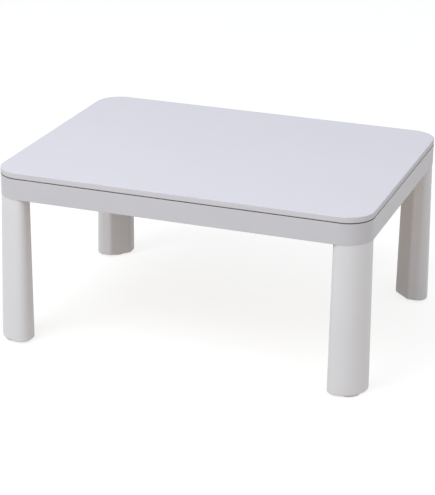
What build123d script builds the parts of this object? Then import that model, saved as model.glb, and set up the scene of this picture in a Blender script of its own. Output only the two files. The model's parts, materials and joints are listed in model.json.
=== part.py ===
from build123d import *
import os
from math import sqrt

# A rectangular kotatsu table, millimetres, +Z up. X runs left to right, Y front to back, and the
# origin is on the floor under the middle of the board.

# ---------------------------------------------------------------- driving dimensions
# overall
table_width = 800.0
table_depth = 600.0
table_height = 382.0
corner_radius = 57.0            # plan radius of the board and of the frame's corners

# board
board_thickness = 12.0
board_sheet_thickness = 0.8
band_thickness = 2.0
band_top_radius = 0.8           # rounding of the band's upper rim
band_low_radius = 1.5           # and of its lower rim

# rubber discs that carry the board on the frame
top_pad_radius = 5.0
top_pad_thickness = 4.0
top_pad_rise = 1.5              # how far a disc stands out of its pocket

# frame
apron_height = 44.5
apron_thickness = 15.0
block_plate = 6.0               # floor of a corner block, under the hand knob
tongue_thickness = 6.0          # wall of a corner block behind an apron
tongue_reach = 45.0             # how far a tongue runs behind its apron
inner_wall = 5.0                # slanting wall of a corner block

# leg
leg_outset = 4.5                # the leg's foot stands this far outside the apron face
leg_head_inset = 1.0            # and its head this far inside it
foot_reach = 72.0               # from the apron face to the leg's inner side, at the foot
head_reach = 70.0               # the same at the head
foot_chord = 108.0              # sum of both insets along the slanting inner face, at the foot
head_chord = 106.0              # the same at the head
leg_outer_radius = 54.0
foot_side_radius = 22.0
head_side_radius = 14.5
leg_inner_radius = 12.0         # rounding between the inner face and the sides
leg_wall = 3.0
leg_head = 8.0                  # solid plate at the top of a leg
boss_wall = 5.0                 # plastic round the threaded insert
peg_radius = 3.0
peg_height = 5.0
peg_inset_near = 28.0           # place of the two locating pegs, inset from the apron faces
peg_inset_far = 57.0

# leg cap and foot pad
cap_height = 12.0
cap_edge_radius = 3.0
cap_spigot = 8.0
cap_floor = 3.0
foot_pad_radius = 24.0
foot_pad_thickness = 6.0
foot_pad_rise = 4.5             # how far a pad stands out of its cap
foot_pad_inset = 31.0           # place of a pad, inset from both apron faces

# leg fixing: stud, insert, washer, nut and hand knob
stud_radius = 4.0
stud_inset = 42.0               # place of a stud, inset from both apron faces
stud_rise = 32.0                # above the corner block's plate
insert_radius = 6.0
insert_length = 20.0
washer_radius = 10.0
washer_thickness = 1.6
nut_across_flats = 13.0
nut_height = 8.0
knob_radius = 15.0
knob_height = 16.0
knob_lobes = 6
knob_scallop_radius = 5.0
knob_scallop_depth = 2.5
knob_chamfer = 2.0

# heater rails and their brackets
rail_width = 30.0
rail_height = 20.0
rail_drop = 4.0                 # the rail's top lies this far under the frame's top
bracket_width = 26.0
bracket_shelf = 28.0            # along the rail
bracket_drop = 18.0             # down the apron
bracket_sheet = 2.0
bracket_screw_spread = 7.0      # half the distance between two screws of a bracket
bracket_screw_reach = 17.0      # from the apron to the screws in the rail

# screws
screw_radius = 2.0
screw_head_radius = 4.0
screw_head_height = 2.2
screw_end_cover = 4.0           # wood left ahead of a screw's tip
rail_screw_depth = 12.0
corner_screw_near = 12.0        # places of the screws along a tongue
corner_screw_far = 31.0

# heater
heater_size = 236.0
heater_depth = 46.0
heater_corner_radius = 12.0
case_sheet = 1.2
lug_width = 30.0
lug_reach = 24.0                # a lug lies this far over its rail
lug_spread = 85.0               # half the distance between two lugs
vent_length = 50.0
vent_width = 4.0
vent_pitch = 12.0
vent_count = 5
tube_radius = 6.0
tube_wall = 1.2
coil_length = 180.0
tube_spread = 50.0              # half the distance between the two tubes
tube_rise = 6.0                 # a tube's axis above the reflector's flat strips
trough_radius = 32.0
reflector_sheet = 0.8
tube_bracket_x = 100.0
tube_bracket_width = 190.0
tube_bracket_foot = 11.0
cap_body_radius = 8.0
cap_flange_radius = 10.0
cap_flange = 2.5
cap_body_inside = 8.0           # ceramic ahead of its bracket, towards the tube
cap_body_outside = 6.0          # ceramic behind its bracket
coil_radius = 3.5
coil_pin_radius = 1.5
coil_pin_reach = 6.0            # a coil's pin stands this far out of its ceramic cap
strap_width = 8.0
guard_rim = 3.0
guard_height = 14.0
guard_overlap = 6.0             # the rim's part inside the case
guard_bar_width = 2.0
guard_bar_height = 5.0
guard_bar_pitch = 13.0
guard_tie_count = 3
case_screw_spread = 70.0
case_screw_length = 6.0
case_screw_head_height = 2.0

# electric parts inside the heater
lead_radius = 1.5
lead_rise = 6.0                 # inner leads above the reflector's ridge
lead_bend = 4.5                 # radius of a lead's bends
lead_hole_radius = 4.5
block_length = 36.0
block_width = 16.0
block_height = 12.0
block_x = 48.0
thermostat_length = 18.0
thermostat_width = 16.0
thermostat_height = 10.0
thermostat_disc_radius = 7.0
thermostat_disc_height = 3.0
thermostat_x = -20.0
fuse_length = 16.0
fuse_radius = 2.5
fuse_x = -62.0
inlet_width = 34.0
inlet_height = 20.0
inlet_depth = 20.0
inlet_flange = 2.0
inlet_flange_lip = 3.0
inlet_mouth_width = 26.0
inlet_mouth_height = 12.0
inlet_mouth_depth = 15.0
inlet_pin_radius = 2.0
inlet_pin_spread = 6.5
inlet_pin_recess = 6.0          # a pin ends this far inside the mouth
inlet_pin_tail = 3.0
inlet_x = 77.0
inlet_rise = 8.0                # the inlet's underside above the reflector's flat strips

# clearances
press_gap = 0.05                # pins, screws and inserts in their holes
running_gap = 0.05              # washer, nut and knob on a stud
fit_gap = 0.3                   # spigots, pegs and drop-in parts
case_gap = 2.0                  # heater case to its rails

# ---------------------------------------------------------------- levels and places that follow
board_bottom = table_height - board_thickness
frame_top = board_bottom - top_pad_rise
frame_bottom = frame_top - apron_height
plate_top = frame_bottom + block_plate
cap_top = foot_pad_rise + cap_height
rail_top = frame_top - rail_drop
rail_bottom = rail_top - rail_height
rail_x = heater_size / 2 + case_gap + rail_width / 2
case_top = rail_top + case_sheet
case_bottom = rail_top - heater_depth
reflector_level = case_bottom + guard_overlap    # the flat strips lie on the guard's rim
tube_level = reflector_level + tube_rise
lead_level = reflector_level + reflector_sheet + lead_rise
straight_x = table_width - 2 * corner_radius
straight_y = table_depth - 2 * corner_radius
case_inner = heater_size / 2 - case_sheet
tongue_end = corner_radius + tongue_reach

corners = {
    "front_left": Location((-table_width / 2, -table_depth / 2, 0), (0, 0, 0)),
    "front_right": Location((table_width / 2, -table_depth / 2, 0), (0, 0, 90)),
    "back_right": Location((table_width / 2, table_depth / 2, 0), (0, 0, 180)),
    "back_left": Location((-table_width / 2, table_depth / 2, 0), (0, 0, 270)),
}
# In each corner's own frame the outer faces of the aprons lie on x = 0 and y = 0, and the table's
# middle is towards +x and +y. A corner piece is symmetric about its diagonal, so the four corners
# take the same piece, turned a quarter each time.

os.makedirs("parts", exist_ok=True)


def save(name, shape):
    export_step(shape, f"parts/{name}.step")


def save_group(name, solids):
    save(name, Compound(children=[s for solid in solids for s in solid.solids()]))


def disc(radius, bottom, height, x=0, y=0):
    return Pos(x, y, bottom) * Cylinder(radius, height, align=(Align.CENTER, Align.CENTER, Align.MIN))


def block(x_size, y_size, bottom, height, x=0, y=0):
    return Pos(x, y, bottom) * Box(x_size, y_size, height, align=(Align.CENTER, Align.CENTER, Align.MIN))


def rounded_plate(x_size, y_size, radius, bottom, height):
    return Pos(0, 0, bottom) * extrude(RectangleRounded(x_size, y_size, radius), height)


def bar_along_x(radius, x_start, x_end, y, z):
    return Pos(x_start, y, z) * Rot(0, 90, 0) * disc(radius, 0, x_end - x_start)


def pan_screw(length, head_height=screw_head_height):
    """Shank along +Z from the seat at z = 0, head below it."""
    return disc(screw_radius, 0, length) + disc(screw_head_radius, -head_height, head_height)


def screw_hole(length):
    return disc(screw_radius + press_gap, 0, length + press_gap)


def blend_corner(outline, point, radius):
    """Round the corner of a flat outline that lies nearest to a point."""
    corner = outline.vertices().sort_by_distance(Vector(*point))[0]
    return fillet(corner, radius)


# ---------------------------------------------------------------- board
def tabletop():
    core_x = table_width - 2 * band_thickness
    core_y = table_depth - 2 * band_thickness
    core_radius = corner_radius - band_thickness
    core_bottom = board_bottom + board_sheet_thickness
    core_height = board_thickness - 2 * board_sheet_thickness
    sheet = board_sheet_thickness
    save("top_core", rounded_plate(core_x, core_y, core_radius, core_bottom, core_height))
    save("top_face_sheet", rounded_plate(core_x, core_y, core_radius, table_height - sheet, sheet))
    save("top_under_sheet", rounded_plate(core_x, core_y, core_radius, board_bottom, sheet))

    blank = rounded_plate(table_width, table_depth, corner_radius, board_bottom, board_thickness)
    blank = fillet(blank.faces().sort_by(Axis.Z)[-1].edges(), band_top_radius)
    blank = fillet(blank.faces().sort_by(Axis.Z)[0].edges(), band_low_radius)
    save("top_edge_band", blank - rounded_plate(core_x, core_y, core_radius, board_bottom, board_thickness))


# ---------------------------------------------------------------- frame
def top_pad_places():
    """Centres of the rubber discs: one on each corner's diagonal, one amid each apron."""
    middle = apron_thickness / 2
    diagonal = corner_radius - (corner_radius - middle) / sqrt(2)
    in_corners = [(place * Pos(diagonal, diagonal, 0)).position for place in corners.values()]
    long_side = [Vector(0, side * (table_depth / 2 - middle), 0) for side in (-1, 1)]
    short_side = [Vector(side * (table_width / 2 - middle), 0, 0) for side in (-1, 1)]
    return in_corners + long_side + short_side


def pad_pockets():
    depth = top_pad_thickness - top_pad_rise
    return [disc(top_pad_radius, frame_top - depth, depth, p.X, p.Y) for p in top_pad_places()]


def top_pads():
    bottom = board_bottom - top_pad_thickness
    return [disc(top_pad_radius, bottom, top_pad_thickness, p.X, p.Y) for p in top_pad_places()]


def corner_screw_places():
    """Seats of a corner's four screws: on the inner face of each tongue, pointing outwards."""
    seat = apron_thickness + tongue_thickness
    level = frame_bottom + apron_height / 2
    places = []
    for along in (corner_radius + corner_screw_near, corner_radius + corner_screw_far):
        places.append(Pos(along, seat, level) * Rot(90, 0, 0))
        places.append(Pos(seat, along, level) * Rot(0, -90, 0))
    return [corner * place for corner in corners.values() for place in places]


corner_screw_length = tongue_thickness + apron_thickness - screw_end_cover


def bracket_places():
    """The corner under each rail end: x across the rail, y along the rail to the table's middle."""
    wall = table_depth / 2 - apron_thickness
    return [
        Pos(side_x * rail_x, side_y * wall, rail_bottom) * Rot(0, 0, 0 if side_y < 0 else 180)
        for side_x in (-1, 1)
        for side_y in (-1, 1)
    ]


def bracket_screw_places():
    spread = bracket_screw_spread
    level = -(bracket_drop + bracket_sheet) / 2
    into_apron = [Pos(x, bracket_sheet, level) * Rot(90, 0, 0) for x in (-spread, spread)]
    into_rail = [Pos(x, bracket_screw_reach, -bracket_sheet) for x in (-spread, spread)]
    return [bracket * place for bracket in bracket_places() for place in into_apron + into_rail]


bracket_screw_length = bracket_sheet + apron_thickness - screw_end_cover


def lug_screw_places():
    """Seats of the heater's screws, on its lugs, pointing down into the rails."""
    return [
        Pos(side_x * rail_x, side_y * lug_spread, case_top) * Rot(180, 0, 0)
        for side_x in (-1, 1)
        for side_y in (-1, 1)
    ]


def bored(piece, places, length):
    for place in places:
        piece -= place * screw_hole(length)
    return piece


def frame():
    for name, side in (("front", -1), ("back", 1)):
        y = side * (table_depth - apron_thickness) / 2
        apron = block(straight_x, apron_thickness, frame_bottom, apron_height, 0, y)
        apron = bored(apron, corner_screw_places(), corner_screw_length)
        apron = bored(apron, bracket_screw_places(), bracket_screw_length)
        save(f"apron_{name}", apron - pad_pockets())
    for name, side in (("left", -1), ("right", 1)):
        x = side * (table_width - apron_thickness) / 2
        apron = block(apron_thickness, straight_y, frame_bottom, apron_height, x, 0)
        apron = bored(apron, corner_screw_places(), corner_screw_length)
        save(f"apron_{name}", apron - pad_pockets())
    for name, side in (("left", -1), ("right", 1)):
        length = table_depth - 2 * apron_thickness
        rail = block(rail_width, length, rail_bottom, rail_height, side * rail_x, 0)
        rail = bored(rail, bracket_screw_places(), bracket_screw_length)
        save(f"heater_rail_{name}", bored(rail, lug_screw_places(), rail_screw_depth))
    save_group("top_pads", top_pads())


def corner_block():
    """Round outer wall, two tongues behind the aprons, a slanting inner wall and a floor plate."""
    r = corner_radius
    t = apron_thickness
    tongue = t + tongue_thickness
    arc_outer = RadiusArc((0, r), (r, 0), -r)
    side = Polyline((r, 0), (r, t), (tongue_end, t), (tongue_end, tongue), (tongue, tongue_end),
                    (t, tongue_end), (t, r), (0, r))
    outline = make_face([arc_outer, side])
    slant = tongue_end + tongue - inner_wall * sqrt(2)
    well_corners = ((tongue, tongue), (slant - tongue, tongue), (tongue, slant - tongue))
    well = make_face(Polyline(*well_corners, close=True))
    inner_radius = r - t
    near_corner = Pos(r / 2, r / 2) * Rectangle(r, r)
    past_arc = near_corner - Pos(r, r) * Circle(inner_radius)
    well = well - past_arc
    body = Pos(0, 0, frame_bottom) * extrude(outline, apron_height)
    body -= Pos(0, 0, plate_top) * extrude(well, apron_height - block_plate)
    body -= disc(stud_radius + fit_gap, frame_bottom, block_plate, stud_inset, stud_inset)
    for x, y in peg_places():
        body -= disc(peg_radius + fit_gap, frame_bottom, block_plate, x, y)
    return body


def peg_places():
    return ((peg_inset_near, peg_inset_far), (peg_inset_far, peg_inset_near))


def corner_blocks():
    piece = corner_block()
    for name, place in corners.items():
        body = bored(place * piece, corner_screw_places(), corner_screw_length)
        save(f"corner_block_{name}", body - pad_pockets())
    save_group("corner_screws", [p * pan_screw(corner_screw_length) for p in corner_screw_places()])


def rail_bracket():
    """Angle of sheet steel: a shelf under the rail and a leaf down the apron."""
    shelf = block(bracket_width, bracket_shelf, -bracket_sheet, bracket_sheet, 0, bracket_shelf / 2)
    leaf = block(bracket_width, bracket_sheet, -bracket_drop, bracket_drop, 0, bracket_sheet / 2)
    return shelf + leaf


def rail_brackets():
    brackets = [place * rail_bracket() for place in bracket_places()]
    save_group("rail_brackets", [bored(b, bracket_screw_places(), bracket_screw_length) for b in brackets])
    save_group("bracket_screws", [p * pan_screw(bracket_screw_length) for p in bracket_screw_places()])


# ---------------------------------------------------------------- legs
def leg_outline(level, wall=0.0):
    """Plan of a leg at a level, in its corner's frame, moved inwards by a wall thickness.

    The leg tapers evenly from its head, under the apron, to the top of its cap.
    """
    share = max(0.0, (level - cap_top) / (frame_bottom - cap_top))
    outset = leg_outset + share * (-leg_head_inset - leg_outset)
    reach = foot_reach + share * (head_reach - foot_reach) - wall
    chord = foot_chord + share * (head_chord - foot_chord) - wall * sqrt(2)
    side_radius = foot_side_radius + share * (head_side_radius - foot_side_radius) - wall
    near = wall - outset
    slant = chord - reach
    points = ((near, near), (reach, near), (reach, slant), (slant, reach), (near, reach))
    outline = make_face(Polyline(*points, close=True))
    outer = leg_outer_radius - wall
    inner = leg_inner_radius - wall
    radii = (outer, side_radius, inner, inner, side_radius)
    for point, radius in zip(points, radii):
        outline = blend_corner(outline, point, radius)
    return Pos(0, 0, level) * outline


def leg():
    head_bottom = frame_bottom - leg_head
    shell = loft([leg_outline(cap_top), leg_outline(frame_bottom)], ruled=True)
    shell -= loft([leg_outline(cap_top, leg_wall), leg_outline(head_bottom, leg_wall)], ruled=True)
    boss_depth = insert_length + boss_wall - leg_head
    shell += disc(insert_radius + boss_wall, head_bottom - boss_depth, boss_depth, stud_inset, stud_inset)
    socket_radius = insert_radius + press_gap
    shell -= disc(socket_radius, frame_bottom - insert_length, insert_length, stud_inset, stud_inset)
    for x, y in peg_places():
        shell += disc(peg_radius, frame_bottom, peg_height, x, y)
    return shell


def leg_cap():
    """Closes the leg's foot: flush outside, a spigot ring up inside, a pocket for the pad below."""
    foot = leg_outline(cap_top)
    body = Pos(0, 0, -cap_height) * extrude(foot, cap_height)
    rim = body.faces().sort_by(Axis.Z)[0].edges()
    body = fillet(rim, cap_edge_radius)
    inside = leg_wall + fit_gap
    floor_top = cap_top - cap_height + cap_floor + foot_pad_thickness - foot_pad_rise
    ring = extrude(leg_outline(cap_top + cap_spigot, inside).moved(Location((0, 0, -cap_spigot))), cap_spigot)
    body += ring
    hollow = leg_outline(cap_top, inside + leg_wall).moved(Location((0, 0, floor_top - cap_top)))
    body -= extrude(hollow, cap_top + cap_spigot - floor_top)
    pocket = foot_pad_thickness - foot_pad_rise
    return body - disc(foot_pad_radius + fit_gap, foot_pad_rise, pocket, foot_pad_inset, foot_pad_inset)


def legs():
    leg_piece = leg()
    cap_piece = leg_cap()
    pad = disc(foot_pad_radius, 0, foot_pad_thickness, foot_pad_inset, foot_pad_inset)
    stud_bottom = frame_bottom - insert_length
    stud_length = insert_length + block_plate + stud_rise
    stud = disc(stud_radius, stud_bottom, stud_length, stud_inset, stud_inset)
    insert = disc(insert_radius, stud_bottom, insert_length, stud_inset, stud_inset)
    insert -= disc(stud_radius + press_gap, stud_bottom, insert_length, stud_inset, stud_inset)
    for name, place in corners.items():
        save(f"leg_{name}", place * leg_piece)
        save(f"leg_cap_{name}", place * cap_piece)
    save_group("foot_pads", [place * pad for place in corners.values()])
    save_group("leg_studs", [place * stud for place in corners.values()])
    save_group("leg_inserts", [place * insert for place in corners.values()])


# ---------------------------------------------------------------- hand knobs
def knobs():
    """Washer on the corner block's plate, and on it a lobed knob moulded round a hexagon nut."""
    washer_bottom = plate_top
    knob_bottom = washer_bottom + washer_thickness
    bore = stud_radius + running_gap
    washer = disc(washer_radius, washer_bottom, washer_thickness)
    washer -= disc(bore, washer_bottom, washer_thickness)
    nut_plan = RegularPolygon(nut_across_flats / 2, 6, major_radius=False)
    nut_block = Pos(0, 0, knob_bottom) * extrude(nut_plan, nut_height)
    nut = nut_block - disc(bore, knob_bottom, nut_height)
    grip = disc(knob_radius, knob_bottom, knob_height)
    grip = chamfer(grip.edges().sort_by(Axis.Z)[-1], knob_chamfer)
    scallop_x = knob_radius + knob_scallop_radius - knob_scallop_depth
    for turn in PolarLocations(scallop_x, knob_lobes):
        grip -= turn * disc(knob_scallop_radius, knob_bottom, knob_height)
    grip -= nut_block
    grip -= disc(bore, knob_bottom, knob_height)
    for name, place in corners.items():
        at_stud = place * Pos(stud_inset, stud_inset, 0)
        save(f"knob_washer_{name}", at_stud * washer)
        save(f"knob_nut_{name}", at_stud * nut)
        save(f"knob_grip_{name}", at_stud * grip)


# ---------------------------------------------------------------- heater
def guard_screw_places():
    """On the case's front and back walls, pointing inwards through the guard's rim."""
    level = case_bottom + guard_overlap / 2
    face = heater_size / 2
    front = [Pos(x, -face, level) * Rot(-90, 0, 0) for x in (-case_screw_spread, case_screw_spread)]
    back = [Pos(x, face, level) * Rot(90, 0, 0) for x in (-case_screw_spread, case_screw_spread)]
    return front + back


def foot_screw_places():
    """On the case's top, pointing down through the feet of the tube brackets."""
    x = tube_bracket_x + tube_bracket_foot / 2
    return [
        Pos(side_x * x, y, case_top) * Rot(180, 0, 0)
        for side_x in (-1, 1)
        for y in (-case_screw_spread, case_screw_spread)
    ]


def heater_housing():
    """Pressed steel pan, open below, with four lugs that lie on the rails."""
    depth = case_top - case_bottom
    pan = rounded_plate(heater_size, heater_size, heater_corner_radius, case_bottom, depth)
    inner = heater_size - 2 * case_sheet
    pan -= rounded_plate(inner, inner, heater_corner_radius - case_sheet, case_bottom, depth - case_sheet)
    lug_length = 2 * (rail_x - rail_width / 2 + lug_reach)
    for y in (-lug_spread, lug_spread):
        pan += block(lug_length, lug_width, rail_top, case_sheet, 0, y)
    for vent in GridLocations(2 * vent_length, vent_pitch, 2, vent_count):
        slot = Pos(0, 0, rail_top) * extrude(SlotOverall(vent_length, vent_width), case_sheet)
        pan -= vent * slot
    inlet_cut = block(inlet_width + 2 * press_gap, 2 * case_sheet, 0, inlet_height + 2 * press_gap)
    pan -= Pos(inlet_x, heater_size / 2, inlet_bottom - press_gap) * inlet_cut
    pan = bored(pan, lug_screw_places(), rail_screw_depth)
    pan = bored(pan, guard_screw_places(), case_screw_length)
    return bored(pan, foot_screw_places(), case_screw_length)


inlet_bottom = reflector_level + inlet_rise
inlet_level = inlet_bottom + inlet_height / 2


def tube_bracket(side):
    """Plate across the tubes' ends with a foot under the case's top; holes for caps and leads."""
    plate_height = rail_top - reflector_level
    plate_x = tube_bracket_x + case_sheet / 2
    plate = block(case_sheet, tube_bracket_width, reflector_level, plate_height, plate_x)
    foot_x = tube_bracket_x + tube_bracket_foot / 2
    foot = block(tube_bracket_foot, tube_bracket_width, rail_top - case_sheet, case_sheet, foot_x)
    bracket = plate + foot
    start = tube_bracket_x - case_sheet
    end = tube_bracket_x + 2 * case_sheet
    for y in (-tube_spread, tube_spread):
        bracket -= bar_along_x(cap_body_radius + press_gap, start, end, y, tube_level)
    bracket -= bar_along_x(lead_hole_radius, start, end, 0, lead_level)
    if side < 0:
        bracket = mirror(bracket, Plane.YZ)
    return bored(bracket, foot_screw_places(), case_screw_length)


def reflector():
    """Polished sheet with a round trough over each tube and flat strips beside and between."""
    sheet = reflector_sheet
    width = 2 * (case_inner - fit_gap)
    strip = Pos(0, sheet / 2) * Rectangle(width, sheet)
    outer = [Pos(y, 0) * Circle(trough_radius + sheet) for y in (-tube_spread, tube_spread)]
    inner = [Pos(y, 0) * Circle(trough_radius) for y in (-tube_spread, tube_spread)]
    below = Pos(0, -trough_radius) * Rectangle(2 * width, 2 * trough_radius)
    profile = (strip + outer) - inner - below
    length = 2 * tube_bracket_x
    on_side = Plane(origin=(-length / 2, 0, reflector_level), x_dir=(0, 1, 0), z_dir=(1, 0, 0))
    return extrude(on_side * profile, length)


def ceramic_cap():
    """Modelled along +Z with the bracket's inner face at z = 0 and the tube below it."""
    end_wall = case_sheet + cap_body_outside
    body = disc(cap_body_radius, -cap_body_inside, cap_body_inside + end_wall)
    body += disc(cap_flange_radius, -cap_flange, cap_flange)
    body -= disc(tube_radius + press_gap, -cap_body_inside, cap_body_inside)
    return body - disc(coil_pin_radius + press_gap, -cap_body_inside, cap_body_inside + end_wall)


def ceramic_caps():
    caps = []
    for side in (-1, 1):
        for y in (-tube_spread, tube_spread):
            caps.append(Pos(side * tube_bracket_x, y, tube_level) * Rot(0, side * 90, 0) * ceramic_cap())
    return caps


tube_half = tube_bracket_x - press_gap
cap_end_x = tube_bracket_x + case_sheet + cap_body_outside


def heater_tubes():
    for name, y in (("front", -tube_spread), ("back", tube_spread)):
        tube = bar_along_x(tube_radius, -tube_half, tube_half, y, tube_level)
        tube -= bar_along_x(tube_radius - tube_wall, -tube_half, tube_half, y, tube_level)
        save(f"quartz_tube_{name}", tube)
        coil = bar_along_x(coil_radius, -coil_length / 2, coil_length / 2, y, tube_level)
        pin_end = cap_end_x + coil_pin_reach
        save(f"heating_coil_{name}", coil + bar_along_x(coil_pin_radius, -pin_end, pin_end, y, tube_level))


def coil_straps():
    """Nickel strips that join the two coils' pins at each end and meet the inner lead."""
    straps = []
    low = min(tube_level, lead_level) - strap_width / 2
    high = max(tube_level, lead_level) + strap_width / 2
    for side in (-1, 1):
        x = side * (cap_end_x + case_sheet / 2)
        strap = block(case_sheet, 2 * tube_spread + strap_width, low, high - low, x)
        for y in (-tube_spread, tube_spread):
            strap -= bar_along_x(coil_pin_radius + press_gap, x - case_sheet, x + case_sheet, y, tube_level)
        straps.append(strap)
    return straps


def guard():
    """Rim inside the case's mouth, with bars front to back and a few ties across them."""
    outer = heater_size - 2 * case_sheet - 2 * fit_gap
    radius = heater_corner_radius - case_sheet - fit_gap
    bottom = case_bottom + guard_overlap - guard_height
    inner = outer - 2 * guard_rim
    rim = rounded_plate(outer, outer, radius, bottom, guard_height)
    rim -= rounded_plate(inner, inner, radius - guard_rim, bottom, guard_height)
    bar_length = inner + guard_rim
    bar_count = int(inner / guard_bar_pitch)
    for place in GridLocations(guard_bar_pitch, 0, bar_count, 1):
        rim += place * block(guard_bar_width, bar_length, bottom, guard_bar_height)
    tie_pitch = inner / (guard_tie_count + 1)
    for place in GridLocations(0, tie_pitch, 1, guard_tie_count):
        rim += place * block(bar_length, guard_bar_width, bottom, guard_bar_height)
    return bored(rim, guard_screw_places(), case_screw_length)


ridge = reflector_level + reflector_sheet


def electric_parts():
    save("terminal_block", block(block_length, block_width, ridge, block_height, block_x))
    thermostat = block(thermostat_length, thermostat_width, ridge, thermostat_height, thermostat_x)
    disc_bottom = ridge + thermostat_height
    thermostat += disc(thermostat_disc_radius, disc_bottom, thermostat_disc_height, thermostat_x)
    save("thermostat", thermostat)
    fuse_start = fuse_x - fuse_length / 2
    save("thermal_fuse", bar_along_x(fuse_radius, fuse_start, fuse_start + fuse_length, 0, lead_level))


inlet_back = heater_size / 2 - case_sheet - inlet_depth


def inlet():
    """Two-pin appliance inlet in the case's back wall, its mouth towards +Y."""
    face = heater_size / 2
    body_depth = face - inlet_back
    flange_x = inlet_width + 2 * inlet_flange_lip
    flange_z = inlet_height + 2 * inlet_flange_lip
    body = block(inlet_width, body_depth, inlet_bottom, inlet_height, inlet_x, inlet_back + body_depth / 2)
    flange_y = face + inlet_flange / 2
    body += block(flange_x, inlet_flange, inlet_level - flange_z / 2, flange_z, inlet_x, flange_y)
    mouth_back = face + inlet_flange - inlet_mouth_depth
    mouth_low = inlet_level - inlet_mouth_height / 2
    mouth_y = mouth_back + inlet_mouth_depth / 2
    body -= block(inlet_mouth_width, inlet_mouth_depth, mouth_low, inlet_mouth_height, inlet_x, mouth_y)
    pins = []
    for x in (inlet_x - inlet_pin_spread, inlet_x + inlet_pin_spread):
        at_back = Pos(x, inlet_back - inlet_pin_tail, inlet_level) * Rot(-90, 0, 0)
        length = face + inlet_flange - inlet_pin_recess - inlet_back + inlet_pin_tail
        pins.append(at_back * disc(inlet_pin_radius, 0, length))
        body -= at_back * disc(inlet_pin_radius + press_gap, 0, length)
    save("inlet_socket", body)
    save_group("inlet_pins", pins)


def lead_from_inlet(x_inlet, x_block):
    """From an inlet pin's tail up over the back trough and down to the terminal block."""
    above_trough = reflector_level + trough_radius + reflector_sheet + 2 * lead_radius
    start_y = inlet_back - inlet_pin_tail
    block_back = block_width / 2
    trough_back = tube_spread + trough_radius + reflector_sheet
    trough_front = tube_spread - trough_radius - reflector_sheet
    points = [
        (x_inlet, start_y, inlet_level),
        (x_inlet, trough_back + lead_bend / 2, inlet_level),
        (x_inlet, tube_spread + trough_radius / 2, above_trough),
        (x_block, trough_front + lead_bend, above_trough),
        (x_block, trough_front - lead_bend / 2, lead_level),
        (x_block, block_back, lead_level),
    ]
    path = FilletPolyline(*points, radius=lead_bend)
    start = Plane(origin=points[0], z_dir=(0, -1, 0))
    return sweep(start * Circle(lead_radius), path)


def heater_leads():
    block_left = block_x - block_length / 2
    thermostat_right = thermostat_x + thermostat_length / 2
    thermostat_left = thermostat_x - thermostat_length / 2
    fuse_right = fuse_x + fuse_length / 2
    fuse_left = fuse_x - fuse_length / 2
    straight = (
        (thermostat_right, block_left),
        (fuse_right, thermostat_left),
        (-cap_end_x, fuse_left),
        (block_x + block_length / 2, cap_end_x),
    )
    leads = [bar_along_x(lead_radius, start, end, 0, lead_level) for start, end in straight]
    for side in (-1, 1):
        leads.append(lead_from_inlet(inlet_x + side * inlet_pin_spread, block_x + side * block_length / 4))
    return leads


def heater():
    save("heater_housing", heater_housing())
    save("heater_reflector", reflector())
    heater_tubes()
    save_group("ceramic_caps", ceramic_caps())
    save("tube_bracket_left", tube_bracket(-1))
    save("tube_bracket_right", tube_bracket(1))
    save_group("coil_straps", coil_straps())
    save("heater_guard", guard())
    electric_parts()
    inlet()
    save_group("heater_leads", heater_leads())
    save_group("heater_screws", [p * pan_screw(rail_screw_depth) for p in lug_screw_places()])
    case_places = guard_screw_places() + foot_screw_places()
    case_screw = pan_screw(case_screw_length, case_screw_head_height)
    save_group("case_screws", [p * case_screw for p in case_places])


tabletop()
frame()
corner_blocks()
rail_brackets()
legs()
knobs()
heater()
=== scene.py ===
import json
import math

import bmesh
import bpy
import numpy as np
from mathutils import Matrix, Vector


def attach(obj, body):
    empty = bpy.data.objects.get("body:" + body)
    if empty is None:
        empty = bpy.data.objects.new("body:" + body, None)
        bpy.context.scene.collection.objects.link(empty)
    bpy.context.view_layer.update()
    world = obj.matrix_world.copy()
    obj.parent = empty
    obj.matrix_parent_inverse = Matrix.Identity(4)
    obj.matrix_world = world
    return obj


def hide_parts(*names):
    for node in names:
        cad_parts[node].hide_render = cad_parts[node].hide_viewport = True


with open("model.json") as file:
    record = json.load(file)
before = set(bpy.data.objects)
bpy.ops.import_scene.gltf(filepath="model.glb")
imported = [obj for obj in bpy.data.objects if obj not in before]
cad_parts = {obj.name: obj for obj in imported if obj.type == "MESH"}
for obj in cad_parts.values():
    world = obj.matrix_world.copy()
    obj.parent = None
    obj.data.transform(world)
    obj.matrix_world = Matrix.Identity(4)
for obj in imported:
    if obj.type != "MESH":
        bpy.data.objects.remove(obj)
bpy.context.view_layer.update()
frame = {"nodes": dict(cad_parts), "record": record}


# ------------------------------------------------------------------ view
# A long lens from the front right, about 3.6 m off and above the board, with its axis a little off
# level. It looks at a point near the table's middle.
view_azimuth = math.radians(19.742)
view_elevation = math.radians(21.314)
view_roll = math.radians(0.7325)
view_distance = 3.6425
view_target = Vector((0.01859, -0.08217, 0.19325))
view_lens = 124.474

backward = Vector((
    math.sin(view_azimuth) * math.cos(view_elevation),
    -math.cos(view_azimuth) * math.cos(view_elevation),
    math.sin(view_elevation),
))
level_right = (-backward).cross(Vector((0, 0, 1))).normalized()
level_up = backward.cross(level_right)
right = level_right * math.cos(view_roll) + level_up * math.sin(view_roll)
up = level_up * math.cos(view_roll) - level_right * math.sin(view_roll)

camera = bpy.data.objects.new("camera", bpy.data.cameras.new("camera"))
bpy.context.scene.collection.objects.link(camera)
bpy.context.scene.camera = camera
camera.data.sensor_width = 36.0
camera.data.lens = view_lens
camera.data.clip_start = 0.05
camera.data.clip_end = 60.0
camera.matrix_world = Matrix.Translation(view_target + backward * view_distance) @ Matrix(
    (right, up, backward)
).transposed().to_4x4()


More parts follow.
